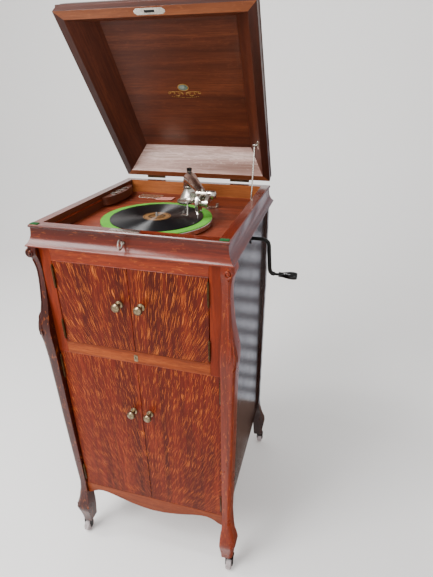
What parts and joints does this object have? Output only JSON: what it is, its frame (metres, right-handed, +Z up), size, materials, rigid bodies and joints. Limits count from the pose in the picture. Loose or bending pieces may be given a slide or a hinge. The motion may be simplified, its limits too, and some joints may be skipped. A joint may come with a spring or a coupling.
{
  "type": "wind up phonograph",
  "caption": "Floor-standing oak cabinet phonograph, lid open, with record on the turntable, tonearm, side crank, doors and casters",
  "frame": {"origin": "on the floor, under the middle of the whole bounding box", "axes": "+X to the cabinet's right seen from the front, the crank side; +Y to the back; +Z up"},
  "size_m": [0.667, 0.6262, 1.6393],
  "materials": {
    "back_panel": "dark brown stained oak, varnished",
    "bottom_board": "reddish brown fumed oak, satin varnish",
    "brake_lever": "aged nickel plate",
    "crank_arm": "dark steel",
    "crank_escutcheon": "black japanned iron",
    "crank_handle": "black lacquered wood",
    "crown_moulding": "reddish brown fumed oak, satin varnish",
    "face_frame": "reddish brown fumed oak, satin varnish",
    "front_apron": "reddish brown fumed oak, satin varnish",
    "front_left_caster_fork": "black japanned iron",
    "front_left_caster_wheel": "greyish white, worn",
    "front_left_post": "reddish brown fumed oak, satin varnish",
    "front_right_caster_fork": "black japanned iron",
    "front_right_caster_wheel": "greyish white, worn",
    "front_right_post": "reddish brown fumed oak, satin varnish",
    "gooseneck": "aged nickel plate",
    "governor": "aged brass",
    "horn": "dark brown stained oak, varnished",
    "left_side_panel": "dark brown stained oak, varnished",
    "lid_hinges": "aged brass",
    "lid_key": "aged nickel plate",
    "lid_shell": "reddish brown fumed oak, satin varnish",
    "lock_plate": "aged brass",
    "louvre_grille": "dark brown stained oak, varnished",
    "lower_left_door": "reddish brown fumed oak, satin varnish",
    "lower_left_hinge": "aged brass",
    "lower_left_knob": "aged nickel plate",
    "lower_right_door": "reddish brown fumed oak, satin varnish",
    "lower_right_hinge": "aged brass",
    "lower_right_knob": "aged nickel plate",
    "mainspring": "dark steel",
    "mid_shelf": "reddish brown fumed oak, satin varnish",
    "motor_bedplate": "black japanned iron",
    "motor_board": "dark brown stained oak, varnished",
    "needle": "dark steel",
    "needle_tray": "dark brown stained oak, varnished",
    "platter": "aged nickel plate",
    "platter_felt": "bright green felt",
    "rear_left_caster_fork": "black japanned iron",
    "rear_left_caster_wheel": "greyish white, worn",
    "rear_left_post": "reddish brown fumed oak, satin varnish",
    "rear_right_caster_fork": "black japanned iron",
    "rear_right_caster_wheel": "greyish white, worn",
    "rear_right_post": "reddish brown fumed oak, satin varnish",
    "record": "black shellac, glossy",
    "record_brush": "aged nickel plate",
    "right_side_panel": "dark brown stained oak, varnished",
    "sound_box": "aged nickel plate",
    "spring_barrel": "dark steel",
    "stay_rod": "aged nickel plate",
    "tonearm": "aged nickel plate",
    "tonearm_bracket": "aged nickel plate",
    "turntable_spindle": "dark steel",
    "upper_left_door": "reddish brown fumed oak, satin varnish",
    "upper_left_hinge": "aged brass",
    "upper_left_knob": "aged nickel plate",
    "upper_right_door": "reddish brown fumed oak, satin varnish",
    "upper_right_hinge": "aged brass",
    "upper_right_knob": "aged nickel plate",
    "winding_wheel": "aged brass"
  },
  "bodies": {
    "cabinet": {"front_left_post": "front_left_post", "front_right_post": "front_right_post", "rear_left_post": "rear_left_post", "rear_right_post": "rear_right_post", "left_side_panel": "left_side_panel", "right_side_panel": "right_side_panel", "back_panel": "back_panel", "bottom_board": "bottom_board", "mid_shelf": "mid_shelf", "face_frame": "face_frame", "front_apron": "front_apron", "crown_moulding": "crown_moulding", "motor_board": "motor_board", "lock_plate": "lock_plate", "horn": "horn", "louvre_grille": "louvre_grille", "tonearm_bracket": "tonearm_bracket", "motor_bedplate": "motor_bedplate", "crank_escutcheon": "crank_escutcheon", "needle_tray": "needle_tray"},
    "lid": {"lid_shell": "lid_shell", "lid_hinges": "lid_hinges"},
    "lid_stay": {"stay_rod": "stay_rod"},
    "turntable": {"platter": "platter", "platter_felt": "platter_felt", "record": "record", "turntable_spindle": "turntable_spindle"},
    "spring_drum": {"spring_barrel": "spring_barrel", "mainspring": "mainspring"},
    "winding_gear": {"winding_wheel": "winding_wheel"},
    "governor": {"governor": "governor"},
    "crank": {"crank_arm": "crank_arm"},
    "crank_grip": {"crank_handle": "crank_handle"},
    "tonearm": {"tonearm": "tonearm"},
    "reproducer": {"gooseneck": "gooseneck", "sound_box": "sound_box", "needle": "needle", "record_brush": "record_brush"},
    "brake": {"brake_lever": "brake_lever"},
    "key": {"lid_key": "lid_key"},
    "upper_left_door_leaf": {"upper_left_door": "upper_left_door", "upper_left_knob": "upper_left_knob", "upper_left_hinge": "upper_left_hinge"},
    "lower_left_door_leaf": {"lower_left_door": "lower_left_door", "lower_left_knob": "lower_left_knob", "lower_left_hinge": "lower_left_hinge"},
    "upper_right_door_leaf": {"upper_right_door": "upper_right_door", "upper_right_knob": "upper_right_knob", "upper_right_hinge": "upper_right_hinge"},
    "lower_right_door_leaf": {"lower_right_door": "lower_right_door", "lower_right_knob": "lower_right_knob", "lower_right_hinge": "lower_right_hinge"},
    "front_left_fork": {"front_left_caster_fork": "front_left_caster_fork"},
    "front_left_wheel": {"front_left_caster_wheel": "front_left_caster_wheel"},
    "rear_left_fork": {"rear_left_caster_fork": "rear_left_caster_fork"},
    "rear_left_wheel": {"rear_left_caster_wheel": "rear_left_caster_wheel"},
    "front_right_fork": {"front_right_caster_fork": "front_right_caster_fork"},
    "front_right_wheel": {"front_right_caster_wheel": "front_right_caster_wheel"},
    "rear_right_fork": {"rear_right_caster_fork": "rear_right_caster_fork"},
    "rear_right_wheel": {"rear_right_caster_wheel": "rear_right_caster_wheel"}
  },
  "joints": [
    {"name": "lid_hinge", "type": "hinge", "parent": "cabinet", "child": "lid", "pos_m": [-0.0495, 0.28116, 1.15735], "axis": [1, 0, 0], "range_deg": [0, 55]},
    {"name": "stay_pivot", "type": "hinge", "parent": "lid", "child": "lid_stay", "pos_m": [0.1625, 0.20597, 1.2833], "axis": [1, 0, 0], "range_deg": [-20, 5]},
    {"name": "upper_left_door_hinge", "type": "hinge", "parent": "cabinet", "child": "upper_left_door_leaf", "pos_m": [-0.2557, -0.28864, 0.938], "axis": [0, 0, -1], "range_deg": [0, 110]},
    {"name": "lower_left_door_hinge", "type": "hinge", "parent": "cabinet", "child": "lower_left_door_leaf", "pos_m": [-0.284, -0.28864, 0.511], "axis": [0, 0, -1], "range_deg": [0, 100]},
    {"name": "upper_right_door_hinge", "type": "hinge", "parent": "cabinet", "child": "upper_right_door_leaf", "pos_m": [0.1567, -0.28864, 0.938], "axis": [0, 0, 1], "range_deg": [0, 110]},
    {"name": "lower_right_door_hinge", "type": "hinge", "parent": "cabinet", "child": "lower_right_door_leaf", "pos_m": [0.185, -0.28864, 0.511], "axis": [0, 0, 1], "range_deg": [0, 100]},
    {"name": "turntable_spin", "type": "hinge", "parent": "cabinet", "child": "turntable", "pos_m": [-0.0495, -0.08114, 1.12], "axis": [0, 0, 1], "continuous": true},
    {"name": "governor_spin", "type": "hinge", "parent": "cabinet", "child": "governor", "pos_m": [-0.0495, -0.10314, 1.055], "axis": [1, 0, 0], "continuous": true},
    {"name": "spring_drum_turn", "type": "hinge", "parent": "cabinet", "child": "spring_drum", "pos_m": [-0.0495, 0.05586, 1.028], "axis": [1, 0, 0], "continuous": true},
    {"name": "crank_turn", "type": "hinge", "parent": "cabinet", "child": "crank", "pos_m": [0.2005, -0.00114, 1.06], "axis": [1, 0, 0], "continuous": true},
    {"name": "winding_gear_turn", "type": "hinge", "parent": "cabinet", "child": "winding_gear", "pos_m": [-0.0065, 0.05586, 1.028], "axis": [1, 0, 0], "continuous": true},
    {"name": "crank_grip_spin", "type": "hinge", "parent": "crank", "child": "crank_grip", "pos_m": [0.3055, 0.04386, 0.936], "axis": [1, 0, 0], "continuous": true},
    {"name": "tonearm_swing", "type": "hinge", "parent": "cabinet", "child": "tonearm", "pos_m": [-0.0415, 0.17886, 1.15], "axis": [0, 0, 1], "range_deg": [-13, 10]},
    {"name": "sound_box_lift", "type": "hinge", "parent": "tonearm", "child": "reproducer", "pos_m": [0.0655, -0.02614, 1.183], "axis": [-1, 0, 0], "range_deg": [0, 55]},
    {"name": "brake_swing", "type": "hinge", "parent": "cabinet", "child": "brake", "pos_m": [0.0455, 0.09806, 1.11], "axis": [0, 0, -1], "range_deg": [0, 12]},
    {"name": "key_turn", "type": "hinge", "parent": "cabinet", "child": "key", "pos_m": [-0.0495, -0.28614, 1.126], "axis": [0, 1, 0], "range_deg": [0, 90]},
    {"name": "front_left_swivel", "type": "hinge", "parent": "cabinet", "child": "front_left_fork", "pos_m": [-0.3115, -0.28214, 0.06], "axis": [0, 0, 1], "continuous": true},
    {"name": "front_left_roll", "type": "hinge", "parent": "front_left_fork", "child": "front_left_wheel", "pos_m": [-0.3115, -0.29114, 0.02], "axis": [1, 0, 0], "continuous": true},
    {"name": "rear_left_swivel", "type": "hinge", "parent": "cabinet", "child": "rear_left_fork", "pos_m": [-0.3115, 0.27286, 0.06], "axis": [0, 0, 1], "continuous": true},
    {"name": "rear_left_roll", "type": "hinge", "parent": "rear_left_fork", "child": "rear_left_wheel", "pos_m": [-0.3115, 0.28186, 0.02], "axis": [1, 0, 0], "continuous": true},
    {"name": "front_right_swivel", "type": "hinge", "parent": "cabinet", "child": "front_right_fork", "pos_m": [0.2125, -0.28214, 0.06], "axis": [0, 0, 1], "continuous": true},
    {"name": "front_right_roll", "type": "hinge", "parent": "front_right_fork", "child": "front_right_wheel", "pos_m": [0.2125, -0.29114, 0.02], "axis": [1, 0, 0], "continuous": true},
    {"name": "rear_right_swivel", "type": "hinge", "parent": "cabinet", "child": "rear_right_fork", "pos_m": [0.2125, 0.27286, 0.06], "axis": [0, 0, 1], "continuous": true},
    {"name": "rear_right_roll", "type": "hinge", "parent": "rear_right_fork", "child": "rear_right_wheel", "pos_m": [0.2125, 0.28186, 0.02], "axis": [1, 0, 0], "continuous": true}
  ],
  "couplings": [
    {"joint": "stay_pivot", "follows": "lid_hinge", "ratio": -0.26},
    {"joint": "governor_spin", "follows": "turntable_spin", "ratio": 10},
    {"joint": "spring_drum_turn", "follows": "turntable_spin", "ratio": 0.0333},
    {"joint": "winding_gear_turn", "follows": "crank_turn", "ratio": -0.30769}
  ]
}
